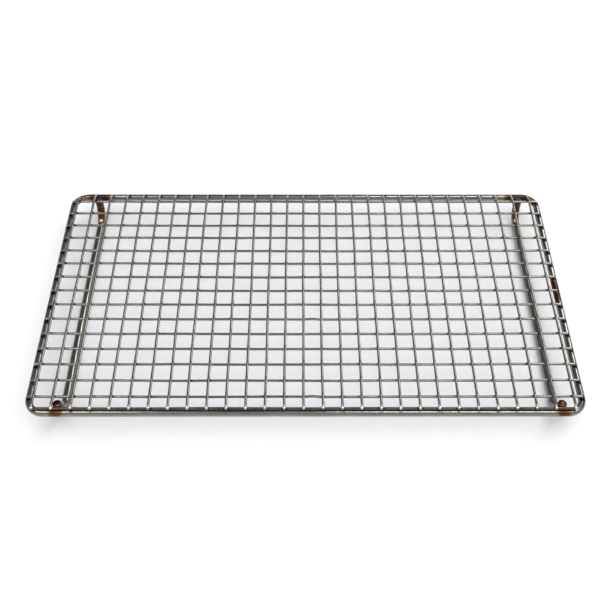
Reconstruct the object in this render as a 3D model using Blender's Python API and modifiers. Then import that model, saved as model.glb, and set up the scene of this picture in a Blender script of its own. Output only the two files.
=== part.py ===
"""Welded wire cooling rack: a rim rod, a grid of wires on top of it, and two bent foot rods.

Metres, +Z up, +X to the right, +Y to the back. The origin is on the table, under the rack's middle.
Every wire and rod is one bent or straight length of round stainless steel. Pieces that are welded
together keep a gap of WELD_GAP between their surfaces.
"""
import math

import bmesh
import bpy
from mathutils import Vector

# Driving dimensions
PITCH = 0.0127            # from wire to wire, both ways
WIRE_D = 0.0018
RIM_D = 0.0050
FOOT_D = 0.0060
HEIGHT = 0.0250           # table to the top of the short wires
WELD_GAP = 0.0003         # between the surfaces of neighbours

SHORT_WIRES = 29          # front to back, on top
LONG_WIRES = 16           # left to right: one at the back, 14 at full pitch, one on the front rim

RIM_HALF_X = 14.45 * PITCH        # rim rod's centre line
RIM_HALF_Y = 7.73 * PITCH
RIM_CORNER_R = 0.85 * PITCH
BUTT_GAP = 0.0030                 # between the rim rod's two ends, which the butt weld fills

GRID_SHIFT_X = -0.10 * PITCH      # the grid sits a little left of the rim's middle
BACK_LONG_WIRE_Y = 7.08 * PITCH
FRONT_LONG_WIRE_Y = -7.63 * PITCH
FRONT_LONG_WIRE_HALF = 14.05 * PITCH
LONG_WIRE_LEFT = -14.50 * PITCH   # cut ends of the long wires, over the rim rod
LONG_WIRE_RIGHT = 14.49 * PITCH

SHORT_WIRE_FRONT = -7.75 * PITCH  # cut front ends of the short wires
BACK_END_INSET = 0.0004           # their back ends stop this far short of the rim's centre line
DROP_START = BACK_LONG_WIRE_Y + 0.0008
DROP_END_INSET = 0.0022           # and they reach their level on the rim this far short of it

FOOT_LEFT_X = -12.91 * PITCH
FOOT_RIGHT_X = 13.34 * PITCH
FOOT_BEND_R = 1.00 * PITCH

# Levels of the centre lines
SHORT_Z = HEIGHT - WIRE_D / 2
LONG_Z = SHORT_Z - WIRE_D - WELD_GAP
RIM_Z = LONG_Z - WIRE_D / 2 - WELD_GAP - RIM_D / 2
FOOT_Z = FOOT_D / 2
LEG_TOP = RIM_Z + RIM_D / 2
LEG_Y = RIM_HALF_Y - RIM_D / 2 - WELD_GAP - FOOT_D / 2

# Facets: a curve's bevel_resolution, and the sides it gives a tube
WIRE_BEVEL = 2
ROD_BEVEL = 4
BEND_STEPS = 8


def bevel_sides(bevel):
    return 4 + 2 * bevel


def clear_scene():
    for old in list(bpy.data.objects):
        bpy.data.objects.remove(old, do_unlink=True)


def new_collection(name):
    collection = bpy.data.collections.new(name)
    bpy.context.scene.collection.children.link(collection)
    return collection


def steel(name, color, roughness):
    material = bpy.data.materials.new(name)
    material.use_nodes = True
    shader = material.node_tree.nodes["Principled BSDF"]
    shader.inputs["Base Color"].default_value = (*color, 1.0)
    shader.inputs["Metallic"].default_value = 1.0
    shader.inputs["Roughness"].default_value = roughness
    return material


def arc(center, radius, start_deg, end_deg, across, along, steps=BEND_STEPS):
    """Points on a bend, from start to end, in the plane of the unit vectors across and along."""
    points = []
    for step in range(steps + 1):
        angle = math.radians(start_deg + (end_deg - start_deg) * step / steps)
        points.append(center + radius * (math.cos(angle) * across + math.sin(angle) * along))
    return points


def round_rod(name, points, diameter, bevel, material, collection):
    """A rod along points, whose flats stand exactly half a diameter from its centre line."""
    sides = bevel_sides(bevel)
    curve = bpy.data.curves.new(name, "CURVE")
    curve.dimensions = "3D"
    curve.bevel_depth = diameter / 2 / math.cos(math.pi / sides)
    curve.bevel_resolution = bevel
    curve.use_fill_caps = True
    spline = curve.splines.new("POLY")
    spline.points.add(len(points) - 1)
    for target, point in zip(spline.points, points):
        target.co = (*point, 1.0)
        target.tilt = math.pi / sides
    curve.materials.append(material)
    rod = bpy.data.objects.new(name, curve)
    collection.objects.link(rod)
    return rod


def add_long_wires(material, collection):
    for index in range(LONG_WIRES):
        left, right = LONG_WIRE_LEFT, LONG_WIRE_RIGHT
        y = BACK_LONG_WIRE_Y - index * PITCH
        if index == LONG_WIRES - 1:
            y = FRONT_LONG_WIRE_Y
            left, right = -FRONT_LONG_WIRE_HALF, FRONT_LONG_WIRE_HALF
        ends = [Vector((left, y, LONG_Z)), Vector((right, y, LONG_Z))]
        round_rod(f"long_wire_{index + 1:02d}", ends, WIRE_D, WIRE_BEVEL, material, collection)


def rim_back_y(x):
    """Where the back rim's centre line runs at x, round the corners as well."""
    into_corner = max(0.0, abs(x) - (RIM_HALF_X - RIM_CORNER_R))
    return RIM_HALF_Y - RIM_CORNER_R + math.sqrt(RIM_CORNER_R**2 - into_corner**2)


def add_short_wires(material, collection):
    """Straight over the grid, then eased down onto the back rim behind the last long wire."""
    for index in range(SHORT_WIRES):
        x = GRID_SHIFT_X + (index - (SHORT_WIRES - 1) / 2) * PITCH
        drop_end = rim_back_y(x) - DROP_END_INSET
        points = [Vector((x, SHORT_WIRE_FRONT, SHORT_Z))]
        for step in range(BEND_STEPS + 1):
            part = step / BEND_STEPS
            ease = (1 - math.cos(math.pi * part)) / 2
            y = DROP_START + part * (drop_end - DROP_START)
            points.append(Vector((x, y, SHORT_Z + ease * (LONG_Z - SHORT_Z))))
        points.append(Vector((x, rim_back_y(x) - BACK_END_INSET, LONG_Z)))
        round_rod(f"short_wire_{index + 1:02d}", points, WIRE_D, WIRE_BEVEL, material, collection)


def rim_points():
    """Once round the rim from one side of the butt weld, mid right, to its other side."""
    right, forward = Vector((1, 0, 0)), Vector((0, 1, 0))
    points = [Vector((RIM_HALF_X, BUTT_GAP / 2, RIM_Z))]
    corners = ((1, 1, 0), (-1, 1, 90), (-1, -1, 180), (1, -1, 270))
    for side_x, side_y, start in corners:
        center = Vector((
            side_x * (RIM_HALF_X - RIM_CORNER_R),
            side_y * (RIM_HALF_Y - RIM_CORNER_R),
            RIM_Z,
        ))
        points += arc(center, RIM_CORNER_R, start, start + 90, right, forward)
    points.append(Vector((RIM_HALF_X, -BUTT_GAP / 2, RIM_Z)))
    return points


def foot_points(x):
    """From the top of the back leg, down, along the table and up the front leg."""
    forward, up = Vector((0, 1, 0)), Vector((0, 0, 1))
    bend_y = LEG_Y - FOOT_BEND_R
    bend_z = FOOT_Z + FOOT_BEND_R
    points = [Vector((x, LEG_Y, LEG_TOP))]
    points += arc(Vector((x, bend_y, bend_z)), FOOT_BEND_R, 0, -90, forward, up)
    points += arc(Vector((x, -bend_y, bend_z)), FOOT_BEND_R, -90, -180, forward, up)
    points.append(Vector((x, -LEG_Y, LEG_TOP)))
    return points


def cylinder_cutter(name, center, radius, length, along_x, collection):
    mesh = bpy.data.meshes.new(name)
    shape = bmesh.new()
    bmesh.ops.create_cone(
        shape, cap_ends=True, segments=48, radius1=radius, radius2=radius, depth=length
    )
    shape.to_mesh(mesh)
    shape.free()
    cutter = bpy.data.objects.new(name, mesh)
    cutter.location = center
    if along_x:
        cutter.rotation_euler = (0, math.pi / 2, 0)
    cutter.hide_render = True
    cutter.display_type = "WIRE"
    collection.objects.link(cutter)
    return cutter


def add_leg_weld(name, x, side, material, collection, cutters):
    """A collar of weld metal round the spot where a leg meets the rim rod."""
    contact_y = side * (RIM_HALF_Y - RIM_D / 2 - WELD_GAP / 2)
    mesh = bpy.data.meshes.new(name)
    shape = bmesh.new()
    bmesh.ops.create_uvsphere(shape, u_segments=24, v_segments=14, radius=1.0)
    bmesh.ops.scale(shape, vec=(0.0034, 0.0019, 0.0024), verts=shape.verts)
    shape.to_mesh(mesh)
    shape.free()
    mesh.shade_smooth()
    mesh.set_sharp_from_angle(angle=math.radians(40))
    mesh.materials.append(material)
    weld = bpy.data.objects.new(name, mesh)
    weld.location = (x, contact_y, RIM_Z)
    collection.objects.link(weld)
    rods = (
        ("leg", Vector((x, side * LEG_Y, RIM_Z)), FOOT_D, False),
        ("rim", Vector((x, side * RIM_HALF_Y, RIM_Z)), RIM_D, True),
    )
    for rod_name, center, diameter, along_x in rods:
        corner_radius = diameter / 2 / math.cos(math.pi / bevel_sides(ROD_BEVEL))
        cutter = cylinder_cutter(
            f"{name}_{rod_name}_cutter", center, corner_radius + WELD_GAP, 0.02, along_x, cutters
        )
        cut = weld.modifiers.new(rod_name, "BOOLEAN")
        cut.operation = "DIFFERENCE"
        cut.solver = "EXACT"
        cut.object = cutter


def add_butt_weld(material, collection):
    """A short barrel of weld metal between the rim rod's two ends."""
    half = BUTT_GAP / 2 - WELD_GAP
    edge_r, middle_r = RIM_D / 2 - 0.0004, RIM_D / 2
    mesh = bpy.data.meshes.new("rim_butt_weld")
    shape = bmesh.new()
    rings = 4
    profile = [(0.0, half)]
    for ring in range(rings + 1):
        part = 1 - 2 * ring / rings
        profile.append((edge_r + (middle_r - edge_r) * (1 - part * part), part * half))
    profile.append((0.0, -half))
    corners = [shape.verts.new((radius, 0, height)) for radius, height in profile]
    for first, second in zip(corners, corners[1:]):
        shape.edges.new((first, second))
    shape.to_mesh(mesh)
    shape.free()
    mesh.materials.append(material)
    weld = bpy.data.objects.new("rim_butt_weld", mesh)
    weld.location = (RIM_HALF_X, 0, RIM_Z)
    weld.rotation_euler = (math.pi / 2, 0, 0)
    collection.objects.link(weld)
    turn = weld.modifiers.new("turn", "SCREW")
    turn.steps = 24
    turn.render_steps = 24
    turn.use_merge_vertices = True
    turn.merge_threshold = 0.00001
    turn.use_smooth_shade = True


def build():
    clear_scene()
    rack = new_collection("cooling_rack")
    cutters = new_collection("cutters")
    wire_steel = steel("wire_steel", (0.52, 0.50, 0.47), 0.24)
    rod_steel = steel("rod_steel", (0.56, 0.54, 0.51), 0.18)
    weld_steel = steel("weld_steel", (0.36, 0.25, 0.17), 0.38)

    add_long_wires(wire_steel, rack)
    add_short_wires(wire_steel, rack)
    round_rod("rim_rod", rim_points(), RIM_D, ROD_BEVEL, rod_steel, rack)
    add_butt_weld(weld_steel, rack)
    for side_name, x in (("left", FOOT_LEFT_X), ("right", FOOT_RIGHT_X)):
        round_rod(f"foot_{side_name}", foot_points(x), FOOT_D, ROD_BEVEL, rod_steel, rack)
        for end_name, side in (("front", -1), ("back", 1)):
            name = f"weld_{end_name}_{side_name}"
            add_leg_weld(name, x, side, weld_steel, rack, cutters)


build()
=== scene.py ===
"""Looks of the welded wire cooling rack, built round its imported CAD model.

Every wire and rod is swept here as a finely divided tube on its CAD node's centre line, with the small
bends, sheared ends, weld beads and heat tints of the real thing. Lengths are in metres.
"""
import math

import bmesh
import bpy
import numpy as np
from mathutils import Euler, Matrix, Vector, kdtree, noise


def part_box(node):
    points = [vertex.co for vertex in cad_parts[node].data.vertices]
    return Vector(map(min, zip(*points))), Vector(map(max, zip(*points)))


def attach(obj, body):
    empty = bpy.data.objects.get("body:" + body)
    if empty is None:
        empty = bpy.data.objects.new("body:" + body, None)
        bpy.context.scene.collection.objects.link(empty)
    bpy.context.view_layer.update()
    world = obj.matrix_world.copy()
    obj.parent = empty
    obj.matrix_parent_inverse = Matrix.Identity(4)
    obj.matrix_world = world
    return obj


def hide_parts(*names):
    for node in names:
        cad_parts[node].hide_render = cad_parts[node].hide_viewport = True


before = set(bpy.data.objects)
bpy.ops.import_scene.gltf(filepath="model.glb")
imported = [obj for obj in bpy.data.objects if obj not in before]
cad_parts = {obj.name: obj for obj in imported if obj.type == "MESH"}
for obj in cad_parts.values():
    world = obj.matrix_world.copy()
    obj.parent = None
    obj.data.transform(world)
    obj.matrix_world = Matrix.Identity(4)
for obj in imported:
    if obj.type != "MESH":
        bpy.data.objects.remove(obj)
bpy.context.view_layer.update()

# The CAD model's body, counts and radii
BODY = "root"
SHORT_WIRES = 29
LONG_WIRES = 16
WIRE_R = 0.0009
RIM_R = 0.0025
FOOT_R = 0.0030
RIM_CORNER_R = 0.0108        # of the rim rod's centre line
FOOT_BEND_R = 0.0127
BUTT_HALF = 0.0015           # half the gap between the rim rod's two ends

# Facets. A tube is a row of rings with this many corners
WIRE_SIDES = 12
ROD_SIDES = 24
WELD_RINGS = (0.0, 0.0006, 0.0012, 0.0020)      # a wire's rings lie this far to each side of a weld
WIRE_STEP = 0.0033                              # the longest stretch between two rings
RIM_STEP = 0.0011
FOOT_STEP = 0.0020
RING_GAP = 0.00035                              # the shortest
BEND_STEPS = 14

# How the real rods and wires differ from the CAD model's
ROD_INSET = 0.00003          # the rods are this much thinner, so that they stay inside the CAD box
BUTT_OVERLAP = 0.0012        # the rim rod runs this far into its butt weld at each end
CONTACT_DIP = 0.00022        # each wire is pressed this far towards the other at a weld
CONTACT_HALF = 0.0016        # half length of that press
RIM_DIP = 0.00035            # and this far down towards the rim
GRID_SAG = 0.0007            # the middle of the grid hangs a little
TIP_DROOP = 0.00090          # the short wires' front ends are squeezed down this far, over TIP_LENGTH
TIP_LENGTH = 0.0030
DROP_DELAY = 0.0008          # they leave the grid's level this far behind the back long wire
DROP_END_INSET = 0.0022      # and reach the rim's level this far before its centre line
END_TRIM = 0.0007            # the most that a cut end falls short
KINKS = {(9, 14): 0.00055, (14, 14): 0.00075}   # long wires bent up in one cell: (wire, cell): height
SCALE_AND_SHADE_REACH = 0.0022          # how far black weld scale and painted contact shade reach along a wire from a weld

# Stage: lights in watts, the strips in watts per square metre and steradian
FLOOR_HALF = 2.5
KEY_POWER = 7.5
STRIP_RADIANCE = 10.0
LOW_STRIP_POWER = 5.0
FILL_POWER = 32.5
WORLD_STRENGTH = 0.8
CAMERA_PLACE = (-0.00185, -0.36125, 0.48769)
CAMERA_DOWN = 53.16          # degrees below the horizon
CAMERA_TURN = -0.255
CAMERA_ROLL = 0.199
CAMERA_SENSOR = 36
CAMERA_LENS = 47.92

rng = np.random.default_rng(20240611)


# ---------------------------------------------------------------- layout, read from the CAD nodes

def node_box(name):
    low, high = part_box(name)
    return np.array(low), np.array(high)


def wire_names(kind, count):
    return [f"{kind}_wire_{index + 1:02d}" for index in range(count)]


SHORT_NAMES = wire_names("short", SHORT_WIRES)
LONG_NAMES = wire_names("long", LONG_WIRES)
short_boxes = [node_box(name) for name in SHORT_NAMES]
long_boxes = [node_box(name) for name in LONG_NAMES]
rim_low, rim_high = node_box("rim_rod")

SHORT_X = np.array([(low[0] + high[0]) / 2 for low, high in short_boxes])
LONG_Y = np.array([(low[1] + high[1]) / 2 for low, high in long_boxes])
SHORT_Z = short_boxes[0][1][2] - WIRE_R
LONG_Z = long_boxes[0][1][2] - WIRE_R
SHORT_FRONT = short_boxes[0][0][1]
RIM_Z = (rim_low[2] + rim_high[2]) / 2
RIM_HALF_X = rim_high[0] - RIM_R
RIM_HALF_Y = rim_high[1] - RIM_R
PITCH = float(SHORT_X[1] - SHORT_X[0])
DROP_START = LONG_Y[0] + DROP_DELAY


class Wander:
    """A slow smooth wander along a length: the sum of a few sines with their own random phases."""

    def __init__(self, size, waves=(0.11, 0.053, 0.021), weights=(1.0, 0.45, 0.16)):
        self.terms = [
            (size * weight, 2 * math.pi / (wave * rng.uniform(0.8, 1.25)), rng.uniform(0, 2 * math.pi))
            for wave, weight in zip(waves, weights)
        ]

    def __call__(self, along):
        return sum(size * math.sin(rate * along + phase) for size, rate, phase in self.terms)


short_shift = rng.normal(0, 0.00022, SHORT_WIRES).clip(-0.0004, 0.0004)
long_shift = rng.normal(0, 0.00016, LONG_WIRES).clip(-0.0003, 0.0003)
long_shift[-1] = 0.0
short_wander = [Wander(0.00013) for _ in range(SHORT_WIRES)]
long_wander = [Wander(0.00011) for _ in range(LONG_WIRES)]


def fade_to_rim(x, y):
    """1 in the field of the grid, 0 at the rim."""
    across = max(0.0, 1 - abs(x / RIM_HALF_X) ** 6)
    along = max(0.0, 1 - abs(y / RIM_HALF_Y) ** 6)
    return across * along


def sag(x, y):
    return -GRID_SAG * max(0.0, 1 - (x / RIM_HALF_X) ** 2) * max(0.0, 1 - abs(y / RIM_HALF_Y) ** 4)


def short_x(index, y):
    stray = short_shift[index] + short_wander[index](y)
    return SHORT_X[index] + stray * fade_to_rim(SHORT_X[index] * 0.8, y)


def long_y(index, x):
    stray = long_shift[index] + long_wander[index](x)
    return LONG_Y[index] + stray * fade_to_rim(x, LONG_Y[index] * 0.8)


def press(distance):
    """Smooth bump of height 1 at a weld."""
    if abs(distance) > CONTACT_HALF:
        return 0.0
    return (1 + math.cos(math.pi * distance / CONTACT_HALF)) / 2


def nearest(value, centers):
    return float(np.min(np.abs(centers - value)))


def rim_back_y(x):
    """Where the back rim's centre line runs at x, round the corners as well."""
    into_corner = max(0.0, abs(x) - (RIM_HALF_X - RIM_CORNER_R))
    return RIM_HALF_Y - RIM_CORNER_R + math.sqrt(RIM_CORNER_R**2 - into_corner**2)


def short_level(index, y):
    """A short wire's level before sag: flat, then eased down onto the back rim."""
    rim_y = rim_back_y(SHORT_X[index])
    part = min(1.0, max(0.0, (y - DROP_START) / (rim_y - DROP_END_INSET - DROP_START)))
    ease = (1 - math.cos(math.pi * part)) / 2
    on_rim = RIM_DIP * press(0.6 * (y - rim_y))
    droop = max(0.0, SHORT_FRONT + TIP_LENGTH - y) / TIP_LENGTH
    return SHORT_Z + ease * (LONG_Z - SHORT_Z) - on_rim - TIP_DROOP * droop**1.3


def short_point(index, y):
    x = short_x(index, y)
    dip = CONTACT_DIP * press(nearest(y, LONG_Y))
    return Vector((x, y, short_level(index, y) - dip + sag(x, y)))


def kink(index, x):
    """How far a long wire is bent up at x."""
    height = 0.0
    for (wire, cell), rise in KINKS.items():
        part = (x - SHORT_X[cell]) / PITCH
        if wire == index and 0 < part < 1:
            height += rise * (1 - math.cos(2 * math.pi * part)) / 2
    return height


def long_point(index, x):
    y = long_y(index, x)
    lift = CONTACT_DIP * press(nearest(x, SHORT_X))
    along_front_rim = index == LONG_WIRES - 1
    on_rim = 0.0 if along_front_rim else RIM_DIP * press(0.5 * (abs(x) - RIM_HALF_X))
    return Vector((x, y, LONG_Z + lift - on_rim + sag(x, y) + kink(index, x)))


# ---------------------------------------------------------------- swept tubes

class Sweep:
    """Collects tubes and beads into one mesh, with what the materials read stored on its points.

    rod: the point as if its rod were straight (along, and two across), for drawn streaks.
    scorch: heat tint, 0 plain steel, 0.2 straw, 0.4 brown, 0.7 violet, 1 black; -1 is freshly ground.
    scale_and_shade: black weld scale beside the spot welds, with painted shadow and contact shade where
    the wires meet each other and the rim, 0 to 1.
    """

    def __init__(self):
        self.mesh = bmesh.new()
        self.rod = self.mesh.verts.layers.float_vector.new("rod")
        self.scorch = self.mesh.verts.layers.float.new("scorch")
        self.scale_and_shade = self.mesh.verts.layers.float.new("scale_and_shade")

    def mark(self, vert, marks):
        """Stores tint, and black scale with painted shade, given as a pair or as a function of the
        point.
        """
        vert[self.scorch], vert[self.scale_and_shade] = marks(vert.co) if callable(marks) else marks

    def ring(self, center, forward, side, radius, sides, along, marks):
        up = forward.cross(side).normalized()
        verts = []
        for step in range(sides):
            angle = 2 * math.pi * (step + 0.5) / sides
            across, above = math.cos(angle) * radius, math.sin(angle) * radius
            vert = self.mesh.verts.new(center + side * across + up * above)
            vert[self.rod] = (along, across, above)
            self.mark(vert, marks)
            verts.append(vert)
        return verts

    def skin(self, rings):
        for first, second in zip(rings, rings[1:]):
            count = len(first)
            for step in range(count):
                after = (step + 1) % count
                self.mesh.faces.new((first[step], first[after], second[after], second[step]))

    def cap(self, ring, first):
        """Closes the first or the last ring of a tube."""
        self.mesh.faces.new(list(reversed(ring)) if first else ring)

    def tube(self, points, radius, sides, marks, wobble, seed, side=None, ends=(None, None)):
        """A round tube through points. Each end is a dict of its cut face's bevel, slant and marks."""
        count = len(points)
        tangents = []
        for index in range(count):
            before, after = points[max(index - 1, 0)], points[min(index + 1, count - 1)]
            tangents.append((after - before).normalized())
        side = (side or Vector((1, 0, 0))).copy()
        along, rings = 0.0, []
        for index, (point, tangent) in enumerate(zip(points, tangents)):
            if index:
                along += (point - points[index - 1]).length
            side = (side - tangent * side.dot(tangent)).normalized()
            swell = 1 + wobble * noise.noise(Vector((along * 140, seed * 7.3, 0.5)))
            rings.append(self.ring(point, tangent, side, radius * swell, sides, along, marks))
        self.finish_end(rings[0], points[0], -tangents[0], ends[0], radius, True)
        self.finish_end(rings[-1], points[-1], tangents[-1], ends[1], radius, False)
        self.skin(rings)

    def finish_end(self, ring, center, outward, end, radius, first):
        """Pulls the last ring back a little and closes it with a bevelled, slightly slanted cut."""
        end = end or {}
        bevel = end.get("bevel", 0.22) * radius
        slant = Vector(end.get("slant", (0, 0, 0)))
        for vert in ring:
            vert.co -= outward * bevel
        face_ring = []
        for vert in ring:
            spoke = vert.co - (center - outward * bevel)
            rim_point = center + spoke * (1 - bevel / radius)
            inner = self.mesh.verts.new(rim_point + outward * spoke.dot(slant))
            inner[self.rod] = vert[self.rod]
            inner[self.scorch] = end.get("scorch", vert[self.scorch])
            inner[self.scale_and_shade] = end.get("scale_and_shade", vert[self.scale_and_shade])
            face_ring.append(inner)
        rings = [face_ring, ring] if first else [ring, face_ring]
        self.skin(rings)
        self.cap(face_ring, first)

    def bead(self, center, radii, marks, lumps=0.25, seed=0.0, turn=None, detail=2, flat=1.0):
        """A small lump of metal, ground off above flat times its height."""
        made = bmesh.ops.create_icosphere(self.mesh, subdivisions=detail, radius=1.0)
        turn = turn or Euler((0, 0, 0))
        for vert in made["verts"]:
            unit = vert.co.copy()
            lump = 1 + lumps * noise.noise(unit * 1.7 + Vector((seed * 3.1, seed * 1.7, seed)))
            local = Vector((unit.x * radii[0], unit.y * radii[1], unit.z * radii[2])) * lump
            local.z = min(local.z, flat * radii[2])
            local.rotate(turn)
            vert.co = center + local
            vert[self.rod] = local * 0.6 + Vector((seed, 0, 0))
            self.mark(vert, marks)

    def to_object(self, name, material, node):
        mesh = bpy.data.meshes.new(name)
        self.mesh.to_mesh(mesh)
        self.mesh.free()
        mesh.shade_smooth()
        mesh.set_sharp_from_angle(angle=math.radians(50))
        mesh.materials.append(material)
        piece = bpy.data.objects.new(name, mesh)
        bpy.context.scene.collection.objects.link(piece)
        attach(piece, BODY)
        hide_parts(node)


def stations(start, end, centers):
    """Where a wire gets a ring: close together at the welds, wider apart between them."""
    marks = {start, end}
    for center in centers:
        for offset in WELD_RINGS:
            marks.update((center - offset, center + offset))
    marks.update(np.arange(start, end, WIRE_STEP))
    inside = sorted(mark for mark in marks if start <= mark <= end)
    kept = [inside[0]]
    for mark in inside[1:-1]:
        if mark - kept[-1] > RING_GAP and end - mark > RING_GAP:
            kept.append(mark)
    return [*kept, inside[-1]]


# ---------------------------------------------------------------- materials

def fill_ramp(ramp, stops):
    elements = ramp.elements
    elements.remove(elements[1])
    elements[0].position = stops[0][0]
    elements[0].color = (*stops[0][1], 1.0)
    for position, color in stops[1:]:
        elements.new(position).color = (*color, 1.0)


class Nodes:
    """A short way to lay out a node tree."""

    def __init__(self, name):
        self.material = bpy.data.materials.new(name)
        self.material.use_nodes = True
        self.tree = self.material.node_tree
        self.shader = self.tree.nodes["Principled BSDF"]

    def add(self, kind, inputs=None, **settings):
        node = self.tree.nodes.new(kind)
        for key, value in settings.items():
            setattr(node, key, value)
        for key, value in (inputs or {}).items():
            self.feed(node.inputs[key], value)
        return node

    def feed(self, socket, value):
        if isinstance(value, bpy.types.NodeSocket):
            self.tree.links.new(value, socket)
        else:
            socket.default_value = value

    def math(self, operation, *values, clamp=False):
        node = self.add("ShaderNodeMath", operation=operation, use_clamp=clamp)
        for socket, value in zip(node.inputs, values):
            self.feed(socket, value)
        return node.outputs[0]

    def mix(self, factor, first, second):
        node = self.add("ShaderNodeMix", data_type="RGBA")
        self.feed(node.inputs[0], factor)
        self.feed(node.inputs[6], first)
        self.feed(node.inputs[7], second)
        return node.outputs[2]

    def ramp(self, factor, stops):
        node = self.add("ShaderNodeValToRGB")
        fill_ramp(node.color_ramp, stops)
        self.feed(node.inputs[0], factor)
        return node.outputs[0]

    def noise(self, vector, scale, detail=3.0, roughness=0.55):
        return self.add(
            "ShaderNodeTexNoise",
            {"Vector": vector, "Scale": scale, "Detail": detail, "Roughness": roughness},
        ).outputs[0]

    def stretched(self, vector, scale):
        return self.add("ShaderNodeVectorMath", {0: vector, 1: scale}, operation="MULTIPLY").outputs[0]


# Colour of the heat tint, by scorch
OXIDE = [
    (0.00, (0.26, 0.245, 0.22)),
    (0.16, (0.32, 0.225, 0.095)),
    (0.32, (0.155, 0.088, 0.038)),
    (0.44, (0.105, 0.061, 0.033)),
    (0.52, (0.105, 0.026, 0.008)),
    (0.62, (0.050, 0.028, 0.019)),
    (0.78, (0.026, 0.020, 0.030)),
    (1.00, (0.011, 0.009, 0.008)),
]


def drawn_steel(name, light, dark, rough):
    """Drawn stainless rod: fine lines along it, faint stains, heat tint, and black scale with painted
    shadow and contact shade at its welds.
    """
    nodes = Nodes(name)
    rod = nodes.add("ShaderNodeAttribute", attribute_name="rod").outputs["Vector"]
    heat = nodes.add("ShaderNodeAttribute", attribute_name="scorch").outputs["Fac"]
    scale_and_shade = nodes.add("ShaderNodeAttribute", attribute_name="scale_and_shade").outputs["Fac"]
    place = nodes.add("ShaderNodeTexCoord").outputs["Object"]

    lines = nodes.noise(nodes.stretched(rod, (60, 2600, 2600)), 1.0, 2.0)
    scratches = nodes.noise(nodes.stretched(rod, (260, 5200, 5200)), 1.0, 1.0)
    stains = nodes.noise(place, 85.0, 4.0, 0.62)
    specks = nodes.noise(place, 900.0, 2.0, 0.5)

    tone = nodes.math("MULTIPLY_ADD", lines, 0.55, nodes.math("MULTIPLY", stains, 0.75))
    middle = tuple((a + b) / 2 for a, b in zip(light, dark))
    base = nodes.ramp(tone, [(0.34, dark), (0.62, middle), (0.9, light)])
    speck = nodes.ramp(specks, [(0.66, (1, 1, 1)), (0.74, (0.55, 0.5, 0.44))])
    spotted = nodes.add("ShaderNodeMix", data_type="RGBA", blend_type="MULTIPLY")
    nodes.feed(spotted.inputs[0], 0.55)
    nodes.feed(spotted.inputs[6], base)
    nodes.feed(spotted.inputs[7], speck)

    uneven = nodes.noise(place, 420.0, 3.0, 0.6)
    burn = nodes.math("MULTIPLY", heat, nodes.math("MULTIPLY_ADD", uneven, 1.1, 0.45), clamp=True)
    oxide = nodes.ramp(burn, OXIDE)
    cover = nodes.ramp(burn, [(0.04, (0, 0, 0)), (0.28, (1, 1, 1))])
    # Black weld scale together with painted shadow and contact shade, from the black marks stored on the
    # mesh
    scale_and_shade = nodes.math("MULTIPLY", scale_and_shade, nodes.math("MULTIPLY_ADD", uneven, 1.4, 0.4), clamp=True)
    tinted = nodes.mix(cover, spotted.outputs[2], oxide)
    ground = nodes.math("MULTIPLY", heat, -1.0, clamp=True)
    tinted = nodes.mix(ground, tinted, (0.80, 0.78, 0.73, 1))
    nodes.feed(nodes.shader.inputs["Base Color"], nodes.mix(scale_and_shade, tinted, (0.016, 0.012, 0.009, 1)))
    metal = nodes.ramp(burn, [(0.55, (1, 1, 1)), (0.95, (0.6, 0.6, 0.6))])
    nodes.feed(nodes.shader.inputs["Metallic"], metal)
    roughness = nodes.math("MULTIPLY_ADD", scratches, 0.16, rough)
    roughness = nodes.math("MULTIPLY_ADD", stains, 0.08, roughness)
    roughness = nodes.math("MULTIPLY_ADD", burn, 0.22, roughness)
    roughness = nodes.math("MULTIPLY_ADD", ground, 0.18, roughness)
    roughness = nodes.math("MULTIPLY_ADD", scale_and_shade, 0.25, roughness, clamp=True)
    nodes.feed(nodes.shader.inputs["Roughness"], roughness)

    bump_height = nodes.math("MULTIPLY_ADD", lines, 0.6, nodes.math("MULTIPLY", specks, 0.5))
    bump = nodes.add("ShaderNodeBump", {"Strength": 0.16, "Distance": 0.00006, "Height": bump_height})
    nodes.feed(nodes.shader.inputs["Normal"], bump.outputs["Normal"])
    return nodes.material


def weld_metal(name):
    """Rippled weld metal under brown, straw and blue oxide."""
    nodes = Nodes(name)
    place = nodes.add("ShaderNodeTexCoord").outputs["Object"]
    heat = nodes.add("ShaderNodeAttribute", attribute_name="scorch").outputs["Fac"]
    cloud = nodes.noise(place, 330.0, 4.0, 0.6)
    grit = nodes.noise(place, 2400.0, 3.0, 0.6)
    burn = nodes.math("MULTIPLY", heat, nodes.math("MULTIPLY_ADD", cloud, 1.3, 0.30), clamp=True)
    nodes.feed(nodes.shader.inputs["Base Color"], nodes.ramp(burn, OXIDE))
    metal = nodes.ramp(burn, [(0.35, (1, 1, 1)), (0.95, (0.55, 0.55, 0.55))])
    nodes.feed(nodes.shader.inputs["Metallic"], metal)
    nodes.feed(nodes.shader.inputs["Roughness"], nodes.math("MULTIPLY_ADD", grit, 0.35, 0.28))
    bump = nodes.add("ShaderNodeBump", {"Strength": 0.5, "Distance": 0.00012, "Height": grit})
    nodes.feed(nodes.shader.inputs["Normal"], bump.outputs["Normal"])
    return nodes.material


# ---------------------------------------------------------------- heat

def spot_marks(spots):
    """A function that says how strongly spots, each (center, radius, strength), mark a point."""
    tree = kdtree.KDTree(len(spots))
    for number, (center, _, _) in enumerate(spots):
        tree.insert(center, number)
    tree.balance()
    widest = max(radius for _, radius, _ in spots)

    def at(point):
        strongest = 0.0
        for _, number, length in tree.find_range(point, widest):
            _, radius, strength = spots[number]
            distance = length / radius
            if distance < 1:
                strongest = max(strongest, strength * (1 - distance * distance) ** 1.5)
        return strongest
    return at


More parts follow.
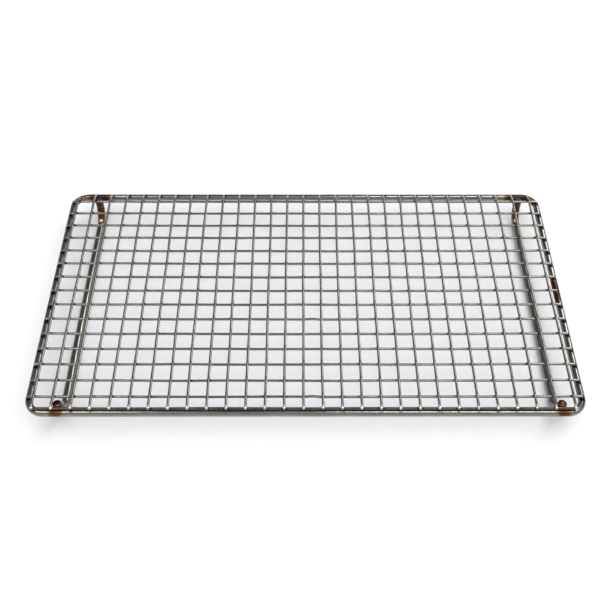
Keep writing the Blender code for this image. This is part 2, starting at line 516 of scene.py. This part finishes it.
def leg_spots():
    """The four places where a leg is welded to the rim."""
    spots = {}
    for side_name in ("left", "right"):
        low, high = node_box(f"foot_{side_name}")
        x = (low[0] + high[0]) / 2
        for end_name, sign in (("front", -1), ("back", 1)):
            spots[f"{end_name}_{side_name}"] = Vector((x, sign * (RIM_HALF_Y - RIM_R - 0.00015), RIM_Z))
    return spots


LEG_SPOTS = leg_spots()

# Heat tint and black weld scale on the rim rod; the black marks also paint shadow in front of the long
# wires' ends and contact shade beside the short wires
LEG_HEAT = {"front_left": 0.82, "back_left": 0.95, "front_right": 0.88, "back_right": 0.92}
LEG_REACH = {"front_left": 0.0085, "back_left": 0.0125, "front_right": 0.0085, "back_right": 0.0135}
rim_hot = [(center, LEG_REACH[place], LEG_HEAT[place]) for place, center in LEG_SPOTS.items()]
rim_hot += [
    (Vector((RIM_HALF_X, 0.002, RIM_Z)), 0.017, 0.70),      # the butt weld, then the back corners
    (Vector((RIM_HALF_X - 0.003, RIM_HALF_Y - 0.004, RIM_Z)), 0.010, 0.38),
    (Vector((0.003 - RIM_HALF_X, RIM_HALF_Y - 0.003, RIM_Z)), 0.007, 0.36),
]

rim_scale_and_shadow = []
# Painted shadow, with weld scale, on the side rims just in front of each long wire's end
for y in LONG_Y[:-1]:
    for sign in (-1, 1):
        mark = Vector((sign * RIM_HALF_X, y - 0.0010, RIM_Z + RIM_R))
        rim_scale_and_shadow.append((mark, rng.uniform(0.0021, 0.0029), rng.uniform(1.0, 2.0)))
# Painted contact shade, with weld scale, on the back rim at the right of each short wire; painted
# shadow, with weld scale, on the front rim under each tip
for x in SHORT_X:
    mark = Vector((x + rng.uniform(0.0009, 0.0014), rim_back_y(x) - 0.0004, RIM_Z + RIM_R))
    rim_scale_and_shadow.append((mark, rng.uniform(0.0016, 0.0021), rng.uniform(0.6, 1.6)))
    mark = Vector((x + rng.uniform(-0.0006, 0.0006), 0.0003 - RIM_HALF_Y, RIM_Z + RIM_R))
    rim_scale_and_shadow.append((mark, rng.uniform(0.0014, 0.0020), rng.uniform(0.3, 1.0)))

# And on the legs and the wires. The back legs are marked lower down as well
above_weld = Vector((0, 0, 0.0006))
leg_hot = [(center + above_weld, 0.0105, 0.9) for center in LEG_SPOTS.values()]
leg_soot = [(center + above_weld, 0.0038, 1.2) for center in LEG_SPOTS.values()]
for place in ("back_left", "back_right"):
    leg_hot.append((LEG_SPOTS[place] + Vector((0, -0.0036, -0.0070)), 0.0130, 0.60))
    leg_soot.append((LEG_SPOTS[place] + Vector((0, -0.0065, -0.0128)), 0.0036, 1.4))
wire_hot = [(center, 0.006, 0.55) for center in LEG_SPOTS.values()]
weld_strength = rng.uniform(0.6, 1.7, (SHORT_WIRES, LONG_WIRES)) ** 2


def scale_and_shade_at_welds(point, own_index, is_short):
    """Black weld scale and painted contact shade close to each weld along a wire, uneven, strongest on
    the side that touches the other wire.
    """
    if is_short:
        crossing = int(np.argmin(np.abs(LONG_Y - point.y)))
        distance = abs(point.y - LONG_Y[crossing])
        strength = weld_strength[own_index, crossing]
        facing = max(0.0, min(1.0, (SHORT_Z - point.z) / WIRE_R))
    else:
        crossing = int(np.argmin(np.abs(SHORT_X - point.x)))
        distance = abs(point.x - SHORT_X[crossing])
        strength = weld_strength[crossing, own_index]
        facing = max(0.0, min(1.0, (point.z - LONG_Z) / WIRE_R + 0.3))
    if distance > SCALE_AND_SHADE_REACH:
        return 0.0
    return strength * facing * (1 - (distance / SCALE_AND_SHADE_REACH) ** 2) ** 1.5


# ---------------------------------------------------------------- pieces

def cut_end():
    """A wire's sheared end, with a slant of its own."""
    return {"bevel": 0.24, "slant": tuple(rng.uniform(-0.25, 0.25, 3))}


def make_short_wires(material):
    hot = spot_marks(wire_hot)
    for index, name in enumerate(SHORT_NAMES):
        low, high = short_boxes[index]
        trim = rng.uniform(0.0, END_TRIM, 2)
        points = [short_point(index, y) for y in stations(low[1] + trim[0], high[1] - trim[1], LONG_Y)]
        sweep = Sweep()

        def marks_at(point, index=index):
            return hot(point), scale_and_shade_at_welds(point, index, True)

        sweep.tube(
            points, WIRE_R, WIRE_SIDES, marks_at,
            ends=(cut_end(), cut_end()), wobble=0.03, seed=index,
        )
        rim_y = rim_back_y(SHORT_X[index])
        sweep.bead(
            Vector((points[-1].x, rim_y - 0.0006, RIM_Z + RIM_R - 0.00005)),
            (0.00120, 0.0011, 0.00030), (0.3, 1.0), seed=index + 0.3,
        )
        tip = short_point(index, SHORT_FRONT + 0.0010)
        size = rng.uniform(0.94, 1.1)
        sweep.bead(
            Vector((tip.x, SHORT_FRONT + 0.0011, tip.z + 0.00012)),
            (0.00102 * size, 0.00118, 0.00096), (-0.8, 0.0), lumps=0.06, seed=index + 5.3,
            turn=Euler((math.radians(rng.uniform(16, 21)), math.radians(rng.normal(0, 1.5)), 0)),
            detail=3, flat=rng.uniform(0.80, 0.88),
        )
        sweep.to_object(f"{name}_drawn", material, name)


def make_long_wires(material):
    hot = spot_marks(wire_hot)
    for index, name in enumerate(LONG_NAMES):
        low, high = long_boxes[index]
        trim = rng.uniform(0.0, END_TRIM, 2)
        points = [long_point(index, x) for x in stations(low[0] + trim[0], high[0] - trim[1], SHORT_X)]
        sweep = Sweep()
        # The wire that lies along the front rim is darkened all along through the black marks
        dark = 0.6 if index == LONG_WIRES - 1 else 0.0    # the wire that lies along the front rim

        def marks_at(point, index=index, dark=dark):
            return hot(point), max(dark, scale_and_shade_at_welds(point, index, False))

        sweep.tube(
            points, WIRE_R, WIRE_SIDES, marks_at, side=Vector((0, 1, 0)),
            ends=(cut_end(), cut_end()), wobble=0.03, seed=100 + index,
        )
        for crossing in range(SHORT_WIRES):
            x = short_x(crossing, LONG_Y[index])
            y = long_y(index, x)
            top = short_point(crossing, LONG_Y[index]).z
            bottom = long_point(index, x).z
            strength = weld_strength[crossing, index]
            spread = rng.uniform(0.9, 1.15, 2) + 0.06 * strength
            sweep.bead(
                Vector((x, y, (top + bottom) / 2)),
                (0.00112 * spread[0], 0.00105 * spread[1], 0.00034), (0.15, strength),
                seed=index * 31 + crossing, detail=1,
            )
        sweep.to_object(f"{name}_drawn", material, name)


def arc_points(center, radius, start, end, across, along):
    return [
        center + radius * (math.cos(angle) * across + math.sin(angle) * along)
        for angle in np.linspace(start, end, BEND_STEPS + 1)
    ]


def resample(points, step):
    """The same path with a point at least every step along its straight runs."""
    dense = [points[0]]
    for first, second in zip(points, points[1:]):
        pieces = max(1, math.ceil((second - first).length / step))
        dense += [first.lerp(second, (piece + 1) / pieces) for piece in range(pieces)]
    return dense


def make_rim(material):
    right, forward = Vector((1, 0, 0)), Vector((0, 1, 0))
    points = [Vector((RIM_HALF_X, BUTT_HALF - BUTT_OVERLAP, RIM_Z))]
    for side_x, side_y, quarter in ((1, 1, 0), (-1, 1, 1), (-1, -1, 2), (1, -1, 3)):
        center_x, center_y = RIM_HALF_X - RIM_CORNER_R, RIM_HALF_Y - RIM_CORNER_R
        center = Vector((side_x * center_x, side_y * center_y, RIM_Z))
        start = quarter * math.pi / 2
        points += arc_points(center, RIM_CORNER_R, start, start + math.pi / 2, right, forward)
    points.append(Vector((RIM_HALF_X, -BUTT_HALF + BUTT_OVERLAP, RIM_Z)))
    points = resample(points, RIM_STEP)
    hot, scale_and_shade = spot_marks(rim_hot), spot_marks(rim_scale_and_shadow)
    sweep = Sweep()
    sweep.tube(
        points, RIM_R - ROD_INSET, ROD_SIDES, lambda point: (hot(point), scale_and_shade(point)),
        side=Vector((1, 0, 0)), wobble=0.008, seed=300,
    )
    sweep.to_object("rim_rod_drawn", material, "rim_rod")


def make_butt_weld(material):
    """A short barrel of weld metal, rippled and lumpy, over the rim rod's two ends."""
    ring_count, half_length = 15, 0.0021
    edge_inset, swell, ripple = 0.00012, 0.00010, 0.00002
    forward, side = Vector((0, 1, 0)), Vector((1, 0, 0))
    sweep = Sweep()
    rings = []
    for step in range(ring_count):
        part = 2 * step / (ring_count - 1) - 1
        y = part * half_length
        radius = RIM_R - edge_inset + swell * (1 - part * part) + ripple * math.sin(step * 2.4)
        center = Vector((RIM_HALF_X, y, RIM_Z))
        rings.append(sweep.ring(center, forward, side, radius, ROD_SIDES, y, (0.5, 0)))
    for ring in rings:
        for vert in ring:
            spoke = vert.co - Vector((RIM_HALF_X, vert.co.y, RIM_Z))
            lump = noise.noise(vert.co * 900)
            vert.co += spoke * (0.012 * lump - 0.012)
    sweep.skin(rings)
    sweep.cap(rings[0], True)
    sweep.cap(rings[-1], False)
    sweep.to_object("rim_butt_weld_bead", material, "rim_butt_weld")


def foot_path(name):
    """From the top of the back leg, down, along the table and up the front leg."""
    low, high = node_box(name)
    x = (low[0] + high[0]) / 2
    leg_y, top = high[1] - FOOT_R, high[2]
    bend, quarter = FOOT_BEND_R, math.pi / 2
    forward, up = Vector((0, 1, 0)), Vector((0, 0, 1))
    level = FOOT_R + bend
    points = [Vector((x, leg_y, top))]
    points += arc_points(Vector((x, leg_y - bend, level)), bend, 0, -quarter, forward, up)
    points += arc_points(Vector((x, bend - leg_y, level)), bend, -quarter, -2 * quarter, forward, up)
    points.append(Vector((x, -leg_y, top)))
    return resample(points, FOOT_STEP)


def make_feet(material):
    hot, scale_and_shade = spot_marks(leg_hot), spot_marks(leg_soot)
    for index, side_name in enumerate(("left", "right")):
        name = f"foot_{side_name}"
        sweep = Sweep()
        end = {"bevel": 0.16, "scorch": 0.52, "scale_and_shade": 0.0}
        sweep.tube(
            foot_path(name), FOOT_R - ROD_INSET, ROD_SIDES, lambda point: (hot(point), scale_and_shade(point)),
            side=Vector((1, 0, 0)), ends=(end, end), wobble=0.008, seed=400 + index,
        )
        sweep.to_object(f"{name}_drawn", material, name)


def make_leg_welds(material):
    for index, (place_name, center) in enumerate(LEG_SPOTS.items()):
        node = f"weld_{place_name}"
        sweep = Sweep()
        lower = center - Vector((0, 0, 0.0004))
        sweep.bead(
            lower, (0.0032, 0.0016, 0.0022), (0.7, 0.0),
            lumps=0.22, seed=index + 11.5, detail=4,
        )
        sweep.to_object(f"{node}_bead", material, node)


# ---------------------------------------------------------------- stage, light, camera

def make_floor():
    mesh = bpy.data.meshes.new("floor")
    shape = bmesh.new()
    bmesh.ops.create_grid(shape, x_segments=1, y_segments=1, size=FLOOR_HALF)
    shape.to_mesh(mesh)
    shape.free()
    nodes = Nodes("white_table")
    nodes.shader.inputs["Base Color"].default_value = (0.86, 0.86, 0.88, 1)
    nodes.shader.inputs["Roughness"].default_value = 0.9
    nodes.shader.inputs["Specular IOR Level"].default_value = 0.1
    mesh.materials.append(nodes.material)
    floor = bpy.data.objects.new("floor", mesh)
    bpy.context.scene.collection.objects.link(floor)


def make_softbox(name, place, aim, size, power, mirrored=True, lighting=True):
    """A soft light. Not mirrored, it isn't seen in the steel; not lighting, it is only seen there."""
    light = bpy.data.lights.new(name, "AREA")
    light.shape = "RECTANGLE"
    light.size, light.size_y = size
    light.energy = power
    holder = bpy.data.objects.new(name, light)
    holder.location = place
    holder.rotation_euler = (Vector(aim) - Vector(place)).to_track_quat("-Z", "Y").to_euler()
    holder.visible_glossy = mirrored
    holder.visible_diffuse = lighting
    bpy.context.scene.collection.objects.link(holder)


def make_world():
    """A studio: a pale room in front of the rack, a dim one behind it."""
    world = bpy.data.worlds.new("studio")
    bpy.context.scene.world = world
    world.use_nodes = True
    tree = world.node_tree
    coordinates = tree.nodes.new("ShaderNodeTexCoord")
    split = tree.nodes.new("ShaderNodeSeparateXYZ")
    tree.links.new(coordinates.outputs["Generated"], split.inputs[0])
    ramp = tree.nodes.new("ShaderNodeValToRGB")
    levels = [(0.0, 0.95), (0.28, 0.85), (0.42, 0.60), (0.55, 0.34), (0.75, 0.28), (1.0, 0.28)]
    fill_ramp(ramp.color_ramp, [(position, (level, level, level)) for position, level in levels])
    backward = tree.nodes.new("ShaderNodeMath")
    backward.operation = "MULTIPLY_ADD"
    backward.inputs[1].default_value = 0.5
    backward.inputs[2].default_value = 0.5
    tree.links.new(split.outputs["Y"], backward.inputs[0])
    tree.links.new(backward.outputs[0], ramp.inputs[0])
    tree.links.new(ramp.outputs[0], tree.nodes["Background"].inputs["Color"])
    tree.nodes["Background"].inputs["Strength"].default_value = WORLD_STRENGTH


def make_camera():
    camera = bpy.data.cameras.new("camera")
    camera.sensor_width = CAMERA_SENSOR
    camera.lens = CAMERA_LENS
    camera.clip_start = 0.01
    holder = bpy.data.objects.new("camera", camera)
    holder.location = CAMERA_PLACE
    turn = Euler((math.radians(90 - CAMERA_DOWN), 0, math.radians(CAMERA_TURN)), "XYZ").to_matrix()
    roll = Euler((0, 0, math.radians(CAMERA_ROLL)), "XYZ").to_matrix()
    holder.rotation_euler = (turn @ roll).to_euler()
    bpy.context.scene.collection.objects.link(holder)
    bpy.context.scene.camera = holder


make_camera()
make_floor()
make_world()
make_softbox("key", (0.85, 0.90, 1.02), (0, 0, 0), (0.66, 0.60), KEY_POWER)
for side_name, x, length in (("left", -0.88, 0.90), ("right", 0.72, 1.24)):
    size = (length, 0.30)
    power = STRIP_RADIANCE * math.pi * size[0] * size[1]
    make_softbox(f"top_strip_{side_name}", (x, -0.07, 1.5), (x, -0.07, 0), size, power, lighting=False)
make_softbox("low_strip", (0.0, 1.45, 0.20), (0, 0, 0), (2.8, 0.22), LOW_STRIP_POWER, lighting=False)
make_softbox("top_fill", (0.0, -0.2, 1.6), (0, 0, 0), (2.4, 2.4), FILL_POWER, mirrored=False)

view = bpy.context.scene.view_settings
view.view_transform = "Standard"
view.look = "None"

wire_steel = drawn_steel("wire_steel", (0.29, 0.275, 0.255), (0.17, 0.16, 0.148), 0.07)
rod_steel = drawn_steel("rod_steel", (0.29, 0.275, 0.255), (0.18, 0.17, 0.158), 0.06)
weld_steel = weld_metal("weld_steel")

make_rim(rod_steel)
make_butt_weld(weld_steel)
make_feet(rod_steel)
make_leg_welds(weld_steel)
make_long_wires(wire_steel)
make_short_wires(wire_steel)
